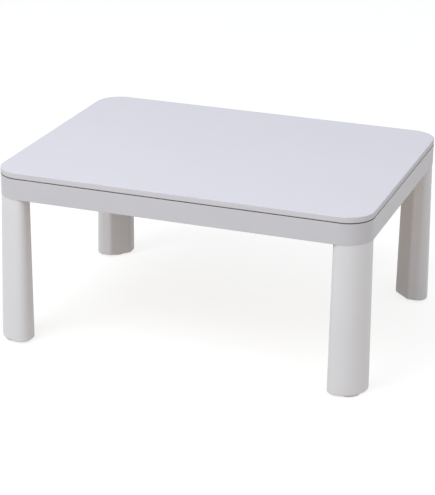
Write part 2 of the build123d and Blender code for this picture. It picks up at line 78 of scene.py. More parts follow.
# ------------------------------------------------------------------ floor and light
# A pale floor that shows white and keeps the table's shadow, but throws back a dimmer, warmer light
# than it shows. Even light all round, a broad soft lamp from the front left and above, and a weak one
# from the front right.
class Wire:
    """One socket of a shader node. Arithmetic on it, with numbers or other wires, adds Math nodes."""

    def __init__(self, tree, socket):
        self.tree = tree
        self.socket = socket

    def math(self, operation, *values):
        node = self.tree.nodes.new("ShaderNodeMath")
        node.operation = operation
        for entry, value in zip(node.inputs, values):
            plug(self.tree, entry, value)
        return Wire(self.tree, node.outputs[0])

    def __add__(self, other):
        return self.math("ADD", self, other)

    def __radd__(self, other):
        return self.math("ADD", other, self)

    def __sub__(self, other):
        return self.math("SUBTRACT", self, other)

    def __rsub__(self, other):
        return self.math("SUBTRACT", other, self)

    def __mul__(self, other):
        return self.math("MULTIPLY", self, other)

    def __rmul__(self, other):
        return self.math("MULTIPLY", other, self)

    def __truediv__(self, other):
        return self.math("DIVIDE", self, other)

    def __pow__(self, other):
        return self.math("POWER", self, other)

    def ramp(self, low, high):
        """0 below low, 1 above high and even between."""
        share = (self - low) / (high - low)
        return share.math("MAXIMUM", share.math("MINIMUM", share, 1.0), 0.0)


def plug(tree, entry, value):
    if isinstance(value, Wire):
        tree.links.new(value.socket, entry)
    else:
        entry.default_value = value


class Nodes:
    """A node tree; node() adds every node that isn't arithmetic."""

    def __init__(self, tree):
        self.tree = tree

    def node(self, kind, settings=None, inputs=None, output=0):
        """Sets the node's settings first, then its sockets, and gives one output or several."""
        node = self.tree.nodes.new("ShaderNode" + kind)
        for key, value in (settings or {}).items():
            setattr(node, key, value)
        for key, value in (inputs or {}).items():
            plug(self.tree, node.inputs[key], value)
        if isinstance(output, tuple):
            return [Wire(self.tree, node.outputs[name]) for name in output]
        return Wire(self.tree, node.outputs[output])

    def seen(self):
        """1 on the rays by which the camera, gloss and glass see this surface, 0 on bounced light."""
        rays = self.node("LightPath", output=("Is Camera Ray", "Is Glossy Ray", "Is Transmission Ray"))
        return (rays[0] + rays[1] + rays[2]).ramp(0.0, 1.0)


def floor_and_light():
    """The floor is one square; where it is seen it is paint plus glow, from below it is clear."""
    floor_reach, floor_colour, floor_glow = 14.0, (0.34, 0.34, 0.34, 1), 0.785
    bounce_colour = (0.64, 0.505, 0.40, 1)
    mesh = bpy.data.meshes.new("floor")
    corners = [(x * floor_reach, y * floor_reach, 0) for x, y in ((-1, -1), (1, -1), (1, 1), (-1, 1))]
    mesh.from_pydata(corners, [], [(0, 1, 2, 3)])
    floor = bpy.data.objects.new("floor", mesh)
    bpy.context.scene.collection.objects.link(floor)
    material = bpy.data.materials.new("floor")
    material.use_nodes = True
    nodes = Nodes(material.node_tree)
    seen = nodes.seen()
    tint = nodes.node("Mix", {"data_type": "RGBA"}, {0: seen, 6: bounce_colour, 7: floor_colour}, 2)
    matt = nodes.node("BsdfDiffuse", inputs={"Color": tint})
    glow = nodes.node("Emission", inputs={"Strength": seen * floor_glow})
    lit = nodes.node("AddShader", inputs={0: matt, 1: glow})
    below = nodes.node("NewGeometry", output="Backfacing")
    clear = nodes.node("BsdfTransparent")
    surface = nodes.node("MixShader", inputs={0: below, 1: lit, 2: clear})
    plug(material.node_tree, material.node_tree.nodes["Material Output"].inputs["Surface"], surface)
    mesh.materials.append(material)

    room_light, room_colour, room_seen = 0.50, (0.98, 1.0, 1.015, 1), (1, 1, 1, 1)
    world = bpy.data.worlds.new("room")
    bpy.context.scene.world = world
    world.use_nodes = True
    nodes = Nodes(world.node_tree)
    background = world.node_tree.nodes["Background"]
    seen = nodes.seen()
    tint = nodes.node("Mix", {"data_type": "RGBA"}, {0: seen, 6: room_colour, 7: room_seen}, 2)
    plug(world.node_tree, background.inputs["Color"], tint)
    plug(world.node_tree, background.inputs["Strength"], room_light + seen * (1.0 - room_light))

    lamp_size, lamp_distance, lamp_colour = 2.6, 4.0, (0.975, 0.995, 1.02)
    aim = Vector((0, 0, 0.3))
    for name, energy, towards in (("soft_lamp", 79.0, (-0.30, -0.56, 0.77)),
                                  ("side_lamp", 16.0, (0.74, -0.46, 0.58))):
        lamp = bpy.data.objects.new(name, bpy.data.lights.new(name, "AREA"))
        bpy.context.scene.collection.objects.link(lamp)
        lamp.data.shape = "DISK"
        lamp.data.size = lamp_size
        lamp.data.energy = energy
        lamp.data.color = lamp_colour
        towards = Vector(towards).normalized()
        lamp.location = aim + towards * lamp_distance
        lamp.rotation_euler = towards.to_track_quat("Z", "Y").to_euler()


floor_and_light()
bpy.context.scene.view_settings.view_transform = "Standard"


# ------------------------------------------------------------------ foot pads
# Four round pads of pale rubber, moulded with a rounded rim. Each sits in a shallow pocket under a
# leg's cap and stands out of it, so that the plastic doesn't touch the floor.
class Finish(Nodes):
    """A material with one Principled shader, whose constants are set by its sockets' names."""

    def __init__(self, name, colour, roughness, constants=None):
        self.material = bpy.data.materials.new(name)
        self.material.use_nodes = True
        super().__init__(self.material.node_tree)
        self.shader = self.tree.nodes["Principled BSDF"]
        self.place = self.node("TexCoord", output="Object")
        self.normal = None
        self.worn = {}
        self.wire("Base Color", (*colour, 1))
        self.wire("Roughness", roughness)
        for key, value in (constants or {}).items():
            self.wire(key, value)

    def wire(self, entry, value):
        """Sets a socket of the shader, and remembers what it wears."""
        self.worn[entry] = value
        plug(self.tree, self.shader.inputs[entry], value)

    def noise(self, scale, detail=2.0, stretch=(1, 1, 1)):
        """Fractal noise from 0 to 1 with scale cells to the metre, denser along a stretched axis."""
        at = self.node("Mapping", inputs={"Vector": self.place, "Scale": stretch})
        return self.node("TexNoise", inputs={"Vector": at, "Scale": scale, "Detail": detail})

    def between(self, first, second, share):
        """A colour that runs from the first to the second; either may be a wire."""
        ends = [end if isinstance(end, Wire) else (*end, 1) for end in (first, second)]
        return self.node("Mix", {"data_type": "RGBA"}, {0: share, 6: ends[0], 7: ends[1]}, 2)

    def clouded(self, colour, scale, spread, detail=3.0):
        """The colour in soft clouds, lighter and darker by its spread, as on moulded parts."""
        low, high = ([c * (1 + side * spread) for c in colour] for side in (-1, 1))
        return self.between(low, high, self.noise(scale, detail).ramp(0.32, 0.68))

    def relief(self, height, depth):
        """Raises the surface by height, 0 to 1, times depth in metres, on top of earlier relief."""
        inputs = {"Height": height, "Distance": depth, "Strength": 1.0}
        if self.normal is not None:
            inputs["Normal"] = self.normal
        self.normal = self.node("Bump", inputs=inputs)
        self.wire("Normal", self.normal)

    def level(self):
        """The height above the floor, in metres."""
        return self.node("SeparateXYZ", inputs={"Vector": self.place}, output="Z")


def rounded_path(corners, radii, inset, arc_points):
    """A convex outline, counter-clockwise, with its corners rounded, as (..., points, 2).

    At a corner P with unit edges a, back, and b, ahead, the arc's centre is P + (a + b) r / |a x b|.
    The arc turns evenly from one edge's outward normal to the other's, at radius r less the inset.
    """
    corners = np.asarray(corners, float)
    radii = np.broadcast_to(np.asarray(radii, float), corners.shape[:-1])
    back = np.roll(corners, 1, axis=-2) - corners
    ahead = np.roll(corners, -1, axis=-2) - corners
    back /= np.linalg.norm(back, axis=-1, keepdims=True)
    ahead /= np.linalg.norm(ahead, axis=-1, keepdims=True)
    cross = np.abs(back[..., 0] * ahead[..., 1] - back[..., 1] * ahead[..., 0])
    centre = corners + (back + ahead) * (radii / cross)[..., None]
    start = np.arctan2(back[..., 0], -back[..., 1])
    turn = (np.arctan2(-ahead[..., 0], ahead[..., 1]) - start) % (2 * np.pi)
    angle = start[..., None] + turn[..., None] * np.linspace(0, 1, arc_points)
    reach = radii[..., None] - np.asarray(inset, float)[..., None, None]
    points = centre[..., None, :] + reach[..., None] * np.stack([np.cos(angle), np.sin(angle)], -1)
    return points.reshape(*points.shape[:-3], -1, 2)


def rounded_box_path(x_size, y_size, radius, inset, arc_points):
    """A rectangle about the origin with rounded corners, one row for each inset."""
    x, y = x_size / 2, y_size / 2
    corners = np.array([(-x, -y), (x, -y), (x, y), (-x, y)])
    inset = np.asarray(inset, float)
    return rounded_path(np.broadcast_to(corners, (*inset.shape, 4, 2)), radius, inset, arc_points)


def circle_path(radius, count):
    """Points at even angles round the origin, one row for each radius."""
    angle = np.arange(count) * 2 * np.pi / count
    return np.asarray(radius, float)[..., None, None] * np.stack([np.cos(angle), np.sin(angle)], -1)


def raised(paths, levels):
    """Outlines (rows, points, 2) at their levels, as a grid of points (rows, points, 3)."""
    levels = np.broadcast_to(np.asarray(levels, float)[:, None], paths.shape[:2])
    return np.dstack([paths, levels])


def quarter(radius, count):
    """Insets r (1 - sin a) and depths r (1 - cos a) of an eased edge, from the flat to the wall."""
    angle = np.radians(np.linspace(0, 90, count))
    return radius * (1 - np.sin(angle)), radius * (1 - np.cos(angle))


def turned(low, high, radius, ease, bore=None, count=48):
    """A disc from low to high with eased rims, or, with a bore, a ring, to be skinned as a loop."""
    inset, depth = quarter(ease, 4)
    radii = np.concatenate([radius - inset, radius - inset[::-1]])
    levels = np.concatenate([low + depth, high - depth[::-1]])
    if bore is not None:
        rim = ease / 2
        radii = np.concatenate([[bore, bore + rim], radii, [bore + rim, bore]])
        levels = np.concatenate([[low + rim, low], levels, [high, high - rim]])
    return raised(circle_path(radii, count), levels)


def skin(grids, looped=False):
    """Quads over grids of points (rows, points, 3) that close round their rows.

    The first and last rows get a flat face each, or, where looped, join each other. A grid whose
    enclosed volume, the sum of its corners' triple products over 6, is negative is turned round.
    """
    points, faces, first = [], [], 0
    for grid in grids:
        rows, count = grid.shape[:2]
        index = np.arange(rows * count).reshape(rows, count)
        low = index if looped else index[:-1]
        high = np.roll(index, -1, axis=0) if looped else index[1:]
        quads = np.stack([low, np.roll(low, -1, 1), np.roll(high, -1, 1), high], -1).reshape(-1, 4)
        lids = [] if looped else [index[0][::-1], index[-1]]
        flat = grid.reshape(-1, 3) - grid.reshape(-1, 3).mean(0)
        a, b, c, d = (flat[quads[:, i]] for i in range(4))
        volume = (np.cross(a, b) * c).sum() + (np.cross(a, c) * d).sum()
        for lid in lids:
            rim = flat[lid]
            volume += (np.cross(rim[0], rim[1:-1]) * rim[2:]).sum()
        step = 1 if volume > 0 else -1
        faces += (quads[:, ::step] + first).tolist() + [(lid[::step] + first).tolist() for lid in lids]
        points.append(grid.reshape(-1, 3))
        first += rows * count
    return np.concatenate(points), faces


def finished(mesh, name, finish, body, nodes, eased=0.0):
    """Shades a mesh smooth but for its sharp edges, and makes it a piece of the table on its body."""
    sharp = math.radians(40.0)
    mesh.shade_smooth()
    mesh.set_sharp_from_angle(angle=sharp)
    mesh.materials.clear()
    mesh.materials.append(finish.material)
    piece = bpy.data.objects.new(name, mesh)
    bpy.context.scene.collection.objects.link(piece)
    if eased:
        bevel = piece.modifiers.new("eased_edges", "BEVEL")
        bevel.width = eased
        bevel.segments = 2
        bevel.limit_method = "ANGLE"
        bevel.angle_limit = sharp
    even = piece.modifiers.new("even_normals", "WEIGHTED_NORMAL")
    even.keep_sharp = True
    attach(piece, body)
    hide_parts(*nodes)


def surface_piece(name, grids, finish, body, nodes, looped=False):
    """A piece from one or more grids, in one mesh."""
    mesh = bpy.data.meshes.new(name)
    points, faces = skin(grids, looped)
    mesh.from_pydata(points.tolist(), [], faces)
    finished(mesh, name, finish, body, nodes)


table_x, table_y, table_top = 0.800, 0.600, 0.382
corner_names = ("front_left", "front_right", "back_right", "back_left")


def at_corner(points, name):
    """From a corner's own frame, with the apron's outer faces on x = 0 and y = 0, to its place."""
    turn = corner_names.index(name)
    x, y, z = points[..., 0], points[..., 1], points[..., 2]
    for _ in range(turn):
        x, y = -y, x
    side_x = -1 if turn in (0, 3) else 1
    side_y = -1 if turn in (0, 1) else 1
    return np.stack([x + side_x * table_x / 2, y + side_y * table_y / 2, z], -1)


pad_inset = 0.031


def foot_pads():
    """Discs with eased rims; dust darkens the rubber in patches."""
    finish = Finish("pale_rubber", (0.85, 0.85, 0.84), 0.62)
    dust = finish.noise(90.0, 4.0).ramp(0.45, 0.75)
    finish.wire("Base Color", finish.between((0.88, 0.88, 0.875), (0.79, 0.785, 0.77), dust))
    finish.relief(finish.noise(2600.0, 1.0), 0.00003)
    radius, thickness, rim = 0.024, 0.006, 0.0012
    one = turned(0.0, thickness, radius, rim) + (pad_inset, pad_inset, 0)
    grids = [at_corner(one, name) for name in corner_names]
    surface_piece("foot_pad_discs", grids, finish, "frame", ["foot_pads"])


foot_pads()


# ------------------------------------------------------------------ leg caps
# A white moulded cap closes each leg's foot, flush with the leg's wall and pushed in by a spigot. Its
# lower edge is well rounded, and the pad's pocket is sunk in its underside.
foot_level, cap_top_level, head_level = 0.0045, 0.0165, 0.3240

# In plan, at the foot and at the head: where the two outer sides lie, how far the leg reaches from
# the aprons' outer faces, x + y on its slanted face, and the rounding between a side and an end.
foot_plan = np.array([-0.0045, 0.0720, 0.1080, 0.0220])
head_plan = np.array([0.0010, 0.0700, 0.1060, 0.0145])
outer_rounding, inner_rounding = 0.054, 0.012


def leg_corners(share):
    """The leg's five corners in plan and their radii, even from foot (share 0) to head (share 1)."""
    plan = foot_plan + np.asarray(share, float)[..., None] * (head_plan - foot_plan)
    near, reach, slant, side = np.moveaxis(plan, -1, 0)
    slant = slant - reach
    outer, inner = np.full_like(near, outer_rounding), np.full_like(near, inner_rounding)
    x = np.stack([near, reach, reach, slant, near], -1)
    y = np.stack([near, near, slant, reach, reach], -1)
    return np.stack([x, y], -1), np.stack([outer, side, inner, inner, side], -1)


def leg_rows(levels, insets):
    """The leg's outline at each level, moved inwards by that row's inset."""
    share = np.clip((levels - cap_top_level) / (head_level - cap_top_level), 0, 1)
    corners, radii = leg_corners(share)
    return raised(rounded_path(corners, radii, insets, 14), levels)


def satin_moulding(name, colour, gloss=0.5):
    """White moulded plastic: a fine spark-eroded grain, faint flow clouds and a slight satin drift."""
    finish = Finish(name, colour, 0.42, {"Specular IOR Level": gloss})
    finish.wire("Base Color", finish.clouded(colour, 9.0, 0.008))
    finish.wire("Roughness", 0.38 + finish.noise(60.0, 2.0) * 0.08)
    finish.relief(finish.noise(1900.0, 2.0), 0.000025)
    finish.relief(finish.noise(24.0, 1.0), 0.00008)
    return finish


leg_finish = satin_moulding("leg_moulding", (0.825, 0.865, 0.925))


hub = 0.0001


def gathered(row, inset, radii, levels):
    """Circles at their levels round the point (inset, inset), in the directions of a row's points.

    A radius of one hub closes a disc, all but a pinhole.
    """
    way = row[:, :2] - inset
    way /= np.linalg.norm(way, axis=-1, keepdims=True)
    return raised(inset + np.asarray(radii, float)[:, None, None] * way, levels)


def leg_caps():
    """From the inner floor over the spigot, down the rounded wall and into the pad's pocket."""
    edge, lip = 0.003, 0.00015
    pocket_radius, pocket_top, cap_floor = 0.0243, 0.0060, 0.009
    spigot_outside, spigot_inside, spigot_top = 0.0033, 0.0063, cap_top_level + 0.008
    spigot = leg_rows(np.full(4, spigot_top), np.array([spigot_inside] * 2 + [spigot_outside] * 2))
    spigot[..., 2] = np.array([cap_floor, spigot_top, spigot_top, cap_top_level])[:, None]
    inset, depth = quarter(edge, 7)
    insets = np.concatenate([[lip], [0.0], inset[::-1]])
    levels = np.concatenate([[cap_top_level], [cap_top_level - lip], foot_level + depth[::-1]])
    wall = leg_rows(levels, insets)
    middle = gathered(spigot[0], pad_inset, [hub], [cap_floor])
    pocket = gathered(wall[-1], pad_inset, [pocket_radius, pocket_radius, hub],
                      [foot_level, pocket_top, pocket_top])
    one = np.concatenate([middle, spigot, wall, pocket])
    for name in corner_names:
        surface_piece(f"foot_cap_{name}", [at_corner(one, name)], leg_finish, "frame",
                      [f"leg_cap_{name}"])


leg_caps()


# ------------------------------------------------------------------ legs
# Each leg is one hollow white moulding that narrows a little upwards, round on its outer corner and
# cut off at 45 degrees inside. Two pegs on its head find their holes in the frame's corner.
stud_inset, insert_level = 0.042, 0.304


def legs():
    """From the socket over the head, down the wall, up inside it and round the socket's boss."""
    lip, wall, head_plate = 0.00015, 0.003, 0.008
    socket_radius, boss_radius, boss_low = 0.00605, 0.011, insert_level - 0.005
    peg_radius, peg_rise, peg_root, peg_ease = 0.003, 0.005, 0.001, 0.0006
    peg_near, peg_far = 0.028, 0.057
    span = np.linspace(head_level - lip, cap_top_level + lip, 24)
    outside = leg_rows(np.concatenate([[head_level], span, [cap_top_level]]),
                       np.concatenate([[lip], 0 * span, [lip]]))
    under_head = head_level - head_plate
    inside = leg_rows(np.array([cap_top_level, under_head]), np.array([wall, wall]))
    socket = gathered(outside[0], stud_inset, [hub, socket_radius, socket_radius],
                      [insert_level, insert_level, head_level])
    boss = gathered(inside[-1], stud_inset, [boss_radius, boss_radius, hub],
                    [under_head, boss_low, boss_low])
    shell = np.concatenate([socket, outside, inside, boss])
    peg = turned(head_level - peg_root, head_level + peg_rise, peg_radius, peg_ease, count=24)
    pegs = [peg + (*place, 0) for place in ((peg_near, peg_far), (peg_far, peg_near))]
    for name in corner_names:
        surface_piece(f"leg_shell_{name}", [at_corner(grid, name) for grid in (shell, *pegs)],
                      leg_finish, "frame", [f"leg_{name}"])


legs()


# ------------------------------------------------------------------ leg studs and inserts
# An M8 stud of zinc plated steel stands in each leg's head, screwed into a brass insert moulded into
# the plastic, and passes up through the frame's corner. Its thread is rolled at 1.25 mm pitch.
def zinc_plate():
    """Zinc plating: metal with faint straw and blue patches and a fine uneven gloss."""
    finish = Finish("zinc_plate", (0.70, 0.70, 0.69), 0.30, {"Metallic": 1.0})
    straw, blue = (0.721, 0.70, 0.6072), (0.665, 0.686, 0.7176)
    finish.wire("Base Color", finish.between(blue, straw, finish.noise(110.0, 3.0).ramp(0.35, 0.65)))
    finish.wire("Roughness", 0.24 + finish.noise(500.0, 2.0) * 0.14)
    finish.relief(finish.noise(1600.0, 2.0), 0.00001)
    return finish


zinc = zinc_plate()


def threaded(low, high, radius, pitch, depth):
    """A rolled thread: radius less depth |2 (z / pitch - angle / turn mod 1) - 1|.

    It fades at both ends to a plain rod of the radius less the depth.
    """
    count, steps = 24, 6
    levels = np.linspace(low, high, int((high - low) / pitch * steps) + 1)
    angle = np.arange(count) / count
    wave = np.abs(2 * ((levels[:, None] / pitch - angle) % 1.0) - 1)
    ends = np.clip(np.minimum(levels - low, high - levels) / (2 * depth), 0, 1)[:, None]
    radii = radius - depth * (wave * ends + 1 - ends)
    turn = angle * 2 * np.pi
    return np.dstack([radii * np.cos(turn), radii * np.sin(turn), np.repeat(levels[:, None], count, 1)])


def leg_studs():
    radius, top, pitch, depth = 0.004, 0.362, 0.00125, 0.00055
    one = threaded(insert_level, top, radius, pitch, depth) + (stud_inset, stud_inset, 0)
    grids = [at_corner(one, name) for name in corner_names]
    surface_piece("stud_threads", grids, zinc, "frame", ["leg_studs"])


def recoat(finish, *nodes):
    """Gives the CAD's own solids a finish."""
    for node in nodes:
        frame["nodes"][node].data.materials[0] = finish.material


def brass():
    """Turned brass: cloudy with tarnish, with the lathe's fine level lines."""
    colour = (0.80, 0.62, 0.32)
    finish = Finish("turned_brass", colour, 0.28, {"Metallic": 1.0})
    finish.wire("Base Color", finish.clouded(colour, 160.0, 0.06))
    finish.relief(finish.noise(900.0, 2.0, (1, 1, 6)), 0.00001)
    return finish


leg_studs()
turned_brass = brass()
recoat(turned_brass, "leg_inserts")


# ------------------------------------------------------------------ aprons
# Four straight fibreboards wrapped in white foil, butted against the moulded corners. Along the frame's
# upper edge, one apron wide, the colour is painted dark grey: painted shade for the thin gap under the
# board.
apron_low, apron_high = 0.3240, 0.3685
apron_thickness, corner_radius = 0.015, 0.057
white_foil_colour = (0.67, 0.695, 0.76)


def gap_shade_painted(finish):
    """Paints shade over what the finish wears, on the frame's upper edge and one apron wide: dark grey
    clouds, rougher and with a fine bump, as painted shade for the gap under the board.

    With q = |place| less the centre of the corner's arc, a point's distance inside the outline is
    r - length(max(q, 0)) - min(max(qx, qy), 0).
    """
    x, y, z = finish.node("SeparateXYZ", inputs={"Vector": finish.place}, output=("X", "Y", "Z"))
    over_x = x.math("ABSOLUTE", x) - (table_x / 2 - corner_radius)
    over_y = y.math("ABSOLUTE", y) - (table_y / 2 - corner_radius)
    reach_x, reach_y = over_x.math("MAXIMUM", over_x, 0.0), over_y.math("MAXIMUM", over_y, 0.0)
    beyond = (reach_x * reach_x + reach_y * reach_y) ** 0.5
    within = over_x.math("MINIMUM", over_x.math("MAXIMUM", over_x, over_y), 0.0)
    inside = corner_radius - beyond - within
    top = z.ramp(apron_high - 0.00025, apron_high - 0.00015)
    gap_shade_mask = top * (1 - inside.ramp(apron_thickness, apron_thickness + 0.0001))
    # Painted shade: a dark grey band on the frame's top edge, where the gap under the board lies in
    # shadow.
    gap_shade_colour = finish.clouded((0.30, 0.30, 0.305), 2200.0, 0.15)
    finish.wire("Base Color", finish.between(finish.worn["Base Color"], gap_shade_colour, gap_shade_mask))
    finish.wire("Roughness", finish.worn["Roughness"] + gap_shade_mask * 0.5)
    finish.relief(finish.noise(2600.0, 3.0) * gap_shade_mask, 0.0001)


def white_foil():
    """Foil: smooth and even, with a fine pressed grain."""
    finish = Finish("apron_foil", white_foil_colour, 0.40, {"Specular IOR Level": 0.42})
    finish.wire("Base Color", finish.clouded(white_foil_colour, 14.0, 0.009))
    finish.wire("Roughness", 0.36 + finish.noise(40.0, 3.0) * 0.10)
    # Painted shade for the gap under the board, along the apron's top edge.
    gap_shade_painted(finish)
    finish.relief(finish.noise(900.0, 2.0), 0.00003)
    return finish


def bar(length, x_size, z_size, edge, lip):
    """A straight bar along y with eased long edges and its ends drawn in by a lip."""
    along = np.array([-length / 2, lip - length / 2, length / 2 - lip, length / 2])
    section = rounded_box_path(x_size, z_size, edge, np.array([lip, 0, 0, lip]), 4)
    along = np.broadcast_to(along[:, None], section.shape[:2])
    return np.dstack([section[..., 0], along, section[..., 1]])


def aprons():
    """Straight bars between the round corners, their outer faces on the table's outline."""
    edge, lip, finish = 0.0007, 0.0001, white_foil()
    middle = (apron_low + apron_high) / 2
    for name, side in (("front", -1), ("back", 1), ("left", -1), ("right", 1)):
        lengthwise = name in ("front", "back")
        length = (table_x if lengthwise else table_y) - 2 * corner_radius
        board = bar(length, apron_thickness, apron_high - apron_low, edge, lip)
        if lengthwise:
            board = board[..., [1, 0, 2]] + (0, side * (table_y - apron_thickness) / 2, middle)
        else:
            board = board + (side * (table_x - apron_thickness) / 2, 0, middle)
        surface_piece(f"apron_board_{name}", [board], finish, "frame", [f"apron_{name}"])


aprons()


# ------------------------------------------------------------------ frame corners
# A white moulding makes each round corner of the frame. Two tongues reach behind the aprons, and a
# floor plate under its open well takes the stud and the leg's two pegs.
def eased_copy(name, node, finish, width):
    """A solid's own faces with doubles merged, flat runs joined and edges eased by a width."""
    shape = bmesh.new()
    shape.from_mesh(frame["nodes"][node].data)
    bmesh.ops.remove_doubles(shape, verts=shape.verts, dist=1e-6)
    bmesh.ops.dissolve_limit(shape, angle_limit=math.radians(0.5), verts=shape.verts, edges=shape.edges)
    mesh = bpy.data.meshes.new(name)
    shape.to_mesh(mesh)
    shape.free()
    if "custom_normal" in mesh.attributes:
        mesh.attributes.remove(mesh.attributes["custom_normal"])
    finished(mesh, name, finish, "frame", [node], eased=width)


def frame_corners():
    finish = satin_moulding("corner_moulding", white_foil_colour, 0.34)
    # Painted shade for the gap under the board, along the corner's top edge.
    gap_shade_painted(finish)
    for name in corner_names:
        eased_copy(f"frame_corner_{name}", f"corner_block_{name}", finish,
                   width=0.0004)


frame_corners()


# ------------------------------------------------------------------ screws
# Zinc plated pan head screws with a cross recess: sixteen through the corners' tongues, sixteen in the
# rail brackets, four that hold the heater to its rails and eight in the heater's case.
rail_x = 0.135


def cross_screw(length, head_height):
    """A screw along +z with its seat at 0 and its head below.

    The head's top is a dome, h sqrt(1 - 0.55 (r / R)^4) high. The recess is cut into it where
    min(|x|, |y|) is under its wing's half width and r under its reach.
    """
    head, shank, count = 0.004, 0.002, 40
    wing_width, wing_slope, wing_reach, wing_end, recess_depth = 0.00045, 0.0002, 0.0021, 0.0007, 0.0013
    radii = head * np.array([0.02, 0.12, 0.2, 0.3, 0.4, 0.5, 0.6, 0.7, 0.85, 0.95, 1.0, 1.0])
    crown = head_height * np.sqrt(1 - 0.55 * (radii / head) ** 4)
    crown[-1] = 0.0001
    angle = np.arange(count) * 2 * np.pi / count
    wing = radii[:, None] * np.minimum(np.abs(np.sin(angle)), np.abs(np.cos(angle)))
    recess = np.clip((wing_width - wing) / wing_slope, 0, 1)
    recess = recess * np.clip((wing_reach - radii[:, None]) / wing_end, 0, 1)
    top = -crown[:, None] + recess_depth * recess
    under = np.array([[head * 0.98, 0.0], [shank, 0.0], [shank, length - shank], [shank * 0.3, length]])
    radii = np.concatenate([radii, under[:, 0]])
    levels = np.concatenate([top, np.repeat(under[:, 1:], count, 1)])
    return np.dstack([radii[:, None] * np.cos(angle), radii[:, None] * np.sin(angle), levels])


def driven(one, place, towards):
    """Turns a fastener's +z towards a direction and moves its seat to a place."""
    ahead = np.asarray(towards, float)
    side = np.cross(ahead, (0.0, 0.0, 1.0) if abs(ahead[2]) < 0.5 else (1.0, 0.0, 0.0))
    return one @ np.stack([side, np.cross(ahead, side), ahead]) + place


def screws():
    """Each kind of screw, driven at its places: in the tongues, the rail brackets and the heater."""
    pan_head, low_head = 0.0022, 0.0020
    long_screw, sheet_screw = cross_screw(0.017, pan_head), cross_screw(0.013, pan_head)
    wood_screw, case_screw = cross_screw(0.012, pan_head), cross_screw(0.006, low_head)

    tongue_face, tongue_level, near, far = 0.021, 0.34625, 0.069, 0.088
    pair = [grid for along in (near, far)
            for grid in (driven(long_screw, (along, tongue_face, tongue_level), (0, -1, 0)),
                         driven(long_screw, (tongue_face, along, tongue_level), (-1, 0, 0)))]
    tongue = [at_corner(one, name) for name in corner_names for one in pair]
    surface_piece("tongue_screws", tongue, zinc, "frame", ["corner_screws"])

    wall, rail_low, sheet, shelf_in, leaf_down, spread = 0.285, 0.3445, 0.002, 0.017, 0.010, 0.007
    sides = [(x, y) for x in (-1, 1) for y in (-1, 1)]
    pairs = [(x * rail_x + across, y) for x, y in sides for across in (-spread, spread)]
    shelf = [driven(sheet_screw, (x, y * (wall - shelf_in), rail_low - sheet), (0, 0, 1))
             for x, y in pairs]
    leaf = [driven(sheet_screw, (x, y * (wall - sheet), rail_low - leaf_down), (0, y, 0))
            for x, y in pairs]
    surface_piece("rail_bracket_screws", shelf + leaf, zinc, "frame", ["bracket_screws"])

    case_top, lug_y, foot_x, foot_y = 0.3657, 0.085, 0.1055, 0.070
    rim_x, rim_y, rim_level = 0.070, 0.118, 0.3215
    lugs = [driven(wood_screw, (x * rail_x, y * lug_y, case_top), (0, 0, -1)) for x, y in sides]
    surface_piece("heater_lug_screws", lugs, zinc, "frame", ["heater_screws"])
    feet = [driven(case_screw, (x * foot_x, y * foot_y, case_top), (0, 0, -1)) for x, y in sides]
    rims = [driven(case_screw, (x * rim_x, y * rim_y, rim_level), (0, -y, 0)) for x, y in sides]
    surface_piece("heater_case_screws", feet + rims, zinc, "frame", ["case_screws"])


screws()


# ------------------------------------------------------------------ heater rails
# Two planed pine rails cross the frame from front to back and carry the heater. Steel angles hold
# their ends to the aprons.
def pine():
    """Growth rings as soft noise drawn out along y, over fine fibres drawn out still further."""
    finish = Finish("planed_pine", (0.70, 0.55, 0.36), 0.55)
    rings = finish.noise(55.0, 3.0, (1.0, 0.035, 0.6)).ramp(0.38, 0.62)
    fibres = finish.noise(900.0, 2.0, (1.0, 0.02, 1.0)).ramp(0.3, 0.7)
    wood = finish.between((0.76, 0.62, 0.42), (0.60, 0.42, 0.24), rings)
    finish.wire("Base Color", finish.between(wood, (0.66, 0.50, 0.32), fibres * 0.35))
    finish.wire("Roughness", 0.48 + fibres * 0.14)
    finish.relief(fibres, 0.00004)
    finish.relief(rings, 0.00003)
    return finish


def rails():
    """Planed bars along y, with their long edges eased, and the angles under their ends."""
    length, width, height, edge, lip, middle = 0.570, 0.030, 0.020, 0.0015, 0.0002, 0.3545
    finish = pine()
    for name, side in (("left", -1), ("right", 1)):
        rail = bar(length, width, height, edge, lip) + (side * rail_x, 0, middle)
        surface_piece(f"pine_rail_{name}", [rail], finish, "frame",
                      [f"heater_rail_{name}"])
    eased_copy("rail_angles", "rail_brackets", zinc, width=0.0005)


rails()


# ------------------------------------------------------------------ board rests
# Eight black rubber discs are pressed into the frame's upper edge, one in each corner and one amid
# each apron. The board lies on them, which leaves the thin dark gap all round.
def dark_rubber():
    """Moulded rubber: black, matt and a little mottled."""
    finish = Finish("dark_rubber", (0.028, 0.028, 0.028), 0.72)
    finish.wire("Base Color", finish.clouded((0.030, 0.030, 0.030), 300.0, 0.2))
    finish.relief(finish.noise(1800.0, 2.0), 0.00004)
    return finish


def board_rests():
    """Discs on the middle line of the frame's edge; those in the corners lie on the diagonals."""
    low, high, radius, edge = 0.366, 0.370, 0.005, 0.0006
    middle = apron_thickness / 2
    diagonal = corner_radius - (corner_radius - middle) / math.sqrt(2)
    one = turned(low, high, radius, edge, count=32)
    places = [(x * (table_x / 2 - diagonal), y * (table_y / 2 - diagonal), 0)
              for x in (-1, 1) for y in (-1, 1)]
    places += [(0, side * (table_y / 2 - middle), 0) for side in (-1, 1)]
    places += [(side * (table_x / 2 - middle), 0, 0) for side in (-1, 1)]
    surface_piece("board_rest_discs", [one + place for place in places], dark_rubber(), "frame",
                  ["top_pads"])


board_rests()


# ------------------------------------------------------------------ hand knobs
# A black lobed knob, moulded round a steel nut, runs on each stud and pulls the leg up against the
# frame's corner through a steel washer.
washer_low, knob_low, stud_hole = 0.330, 0.3316, 0.00405


